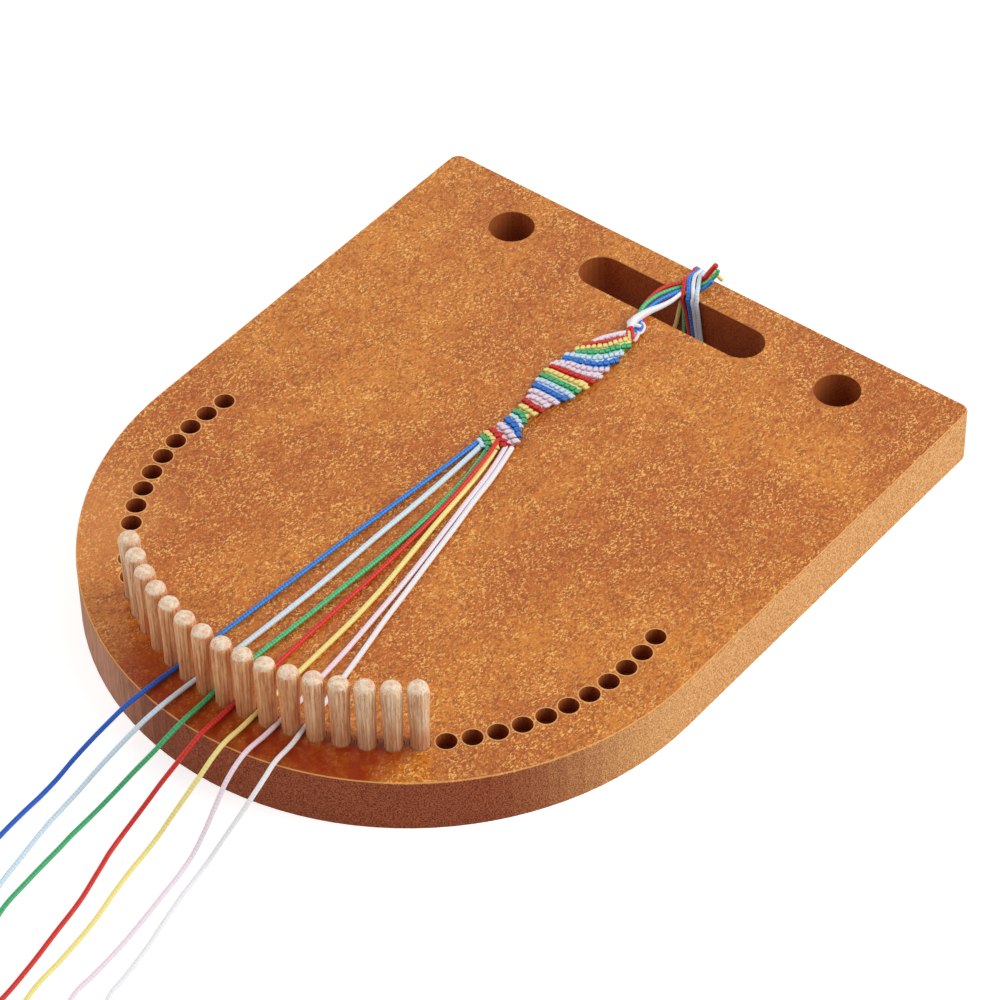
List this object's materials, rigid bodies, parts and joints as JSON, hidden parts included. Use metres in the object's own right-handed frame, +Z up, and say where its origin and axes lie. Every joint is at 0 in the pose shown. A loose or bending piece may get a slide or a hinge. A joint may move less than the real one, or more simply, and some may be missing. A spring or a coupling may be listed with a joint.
{
  "type": "bracelet maker",
  "caption": "Wooden board with a half-round front, a curved row of pull-out dowel pegs and a slotted back, holding a knotted band in progress and its loose strings.",
  "frame": {"origin": "on the table under the middle of the board's box, the loose strings and their coils left out", "axes": "+Y towards the board's straight back edge and its slot, +X to the right seen from the half-round front, +Z up along the pegs"},
  "size_m": [0.203, 0.3854, 0.0435],
  "materials": {
    "stained_wood": "stained and satin varnished, edges a little duller",
    "beech": "bare pale hardwood dowel",
    "knotted_cotton": "knotted satin string in diagonal rows of seven colours",
    "paper_band": "matt paper",
    "string_blue": "smooth satin braided string",
    "string_light_blue": "smooth satin braided string",
    "string_green": "smooth satin braided string",
    "string_red": "smooth satin braided string",
    "string_yellow": "smooth satin braided string",
    "string_pink": "smooth satin braided string",
    "string_white": "smooth satin braided string"
  },
  "bodies": {
    "base": {"board": "stained_wood", "knotted_band": "knotted_cotton", "string_blue": "string_blue", "string_light_blue": "string_light_blue", "string_green": "string_green", "string_red": "string_red", "string_yellow": "string_yellow", "string_pink": "string_pink", "string_white": "string_white", "coil_blue": "string_blue", "coil_light_blue": "string_light_blue", "coil_green": "string_green", "coil_red": "string_red", "coil_yellow": "string_yellow", "coil_pink": "string_pink", "coil_white": "string_white", "coil_band_blue": "paper_band", "coil_band_light_blue": "paper_band", "coil_band_green": "paper_band", "coil_band_red": "paper_band", "coil_band_yellow": "paper_band", "coil_band_pink": "paper_band", "coil_band_white": "paper_band", "lead_red": "string_red", "lead_green": "string_green", "lead_blue": "string_blue", "lead_white": "string_white", "wrap_red": "string_red", "wrap_blue": "string_blue", "wrap_white": "string_white", "wrap_light_blue": "string_light_blue", "slot_strand_yellow": "string_yellow", "slot_strand_green": "string_green", "tail_yellow": "string_yellow"},
    "peg_01": {"peg_01": "beech"},
    "peg_02": {"peg_02": "beech"},
    "peg_03": {"peg_03": "beech"},
    "peg_04": {"peg_04": "beech"},
    "peg_05": {"peg_05": "beech"},
    "peg_06": {"peg_06": "beech"},
    "peg_07": {"peg_07": "beech"},
    "peg_08": {"peg_08": "beech"},
    "peg_09": {"peg_09": "beech"},
    "peg_10": {"peg_10": "beech"},
    "peg_11": {"peg_11": "beech"},
    "peg_12": {"peg_12": "beech"},
    "peg_13": {"peg_13": "beech"},
    "peg_14": {"peg_14": "beech"},
    "peg_15": {"peg_15": "beech"},
    "peg_16": {"peg_16": "beech"}
  },
  "joints": [
    {"name": "peg_01_pull", "type": "slide", "parent": "base", "child": "peg_01", "axis": [0, 0, 1], "range_m": [0, 0.009]},
    {"name": "peg_02_pull", "type": "slide", "parent": "base", "child": "peg_02", "axis": [0, 0, 1], "range_m": [0, 0.009]},
    {"name": "peg_03_pull", "type": "slide", "parent": "base", "child": "peg_03", "axis": [0, 0, 1], "range_m": [0, 0.009]},
    {"name": "peg_04_pull", "type": "slide", "parent": "base", "child": "peg_04", "axis": [0, 0, 1], "range_m": [0, 0.009]},
    {"name": "peg_05_pull", "type": "slide", "parent": "base", "child": "peg_05", "axis": [0, 0, 1], "range_m": [0, 0.009]},
    {"name": "peg_06_pull", "type": "slide", "parent": "base", "child": "peg_06", "axis": [0, 0, 1], "range_m": [0, 0.009]},
    {"name": "peg_07_pull", "type": "slide", "parent": "base", "child": "peg_07", "axis": [0, 0, 1], "range_m": [0, 0.009]},
    {"name": "peg_08_pull", "type": "slide", "parent": "base", "child": "peg_08", "axis": [0, 0, 1], "range_m": [0, 0.009]},
    {"name": "peg_09_pull", "type": "slide", "parent": "base", "child": "peg_09", "axis": [0, 0, 1], "range_m": [0, 0.009]},
    {"name": "peg_10_pull", "type": "slide", "parent": "base", "child": "peg_10", "axis": [0, 0, 1], "range_m": [0, 0.009]},
    {"name": "peg_11_pull", "type": "slide", "parent": "base", "child": "peg_11", "axis": [0, 0, 1], "range_m": [0, 0.009]},
    {"name": "peg_12_pull", "type": "slide", "parent": "base", "child": "peg_12", "axis": [0, 0, 1], "range_m": [0, 0.009]},
    {"name": "peg_13_pull", "type": "slide", "parent": "base", "child": "peg_13", "axis": [0, 0, 1], "range_m": [0, 0.009]},
    {"name": "peg_14_pull", "type": "slide", "parent": "base", "child": "peg_14", "axis": [0, 0, 1], "range_m": [0, 0.009]},
    {"name": "peg_15_pull", "type": "slide", "parent": "base", "child": "peg_15", "axis": [0, 0, 1], "range_m": [0, 0.009]},
    {"name": "peg_16_pull", "type": "slide", "parent": "base", "child": "peg_16", "axis": [0, 0, 1], "range_m": [0, 0.009]}
  ]
}
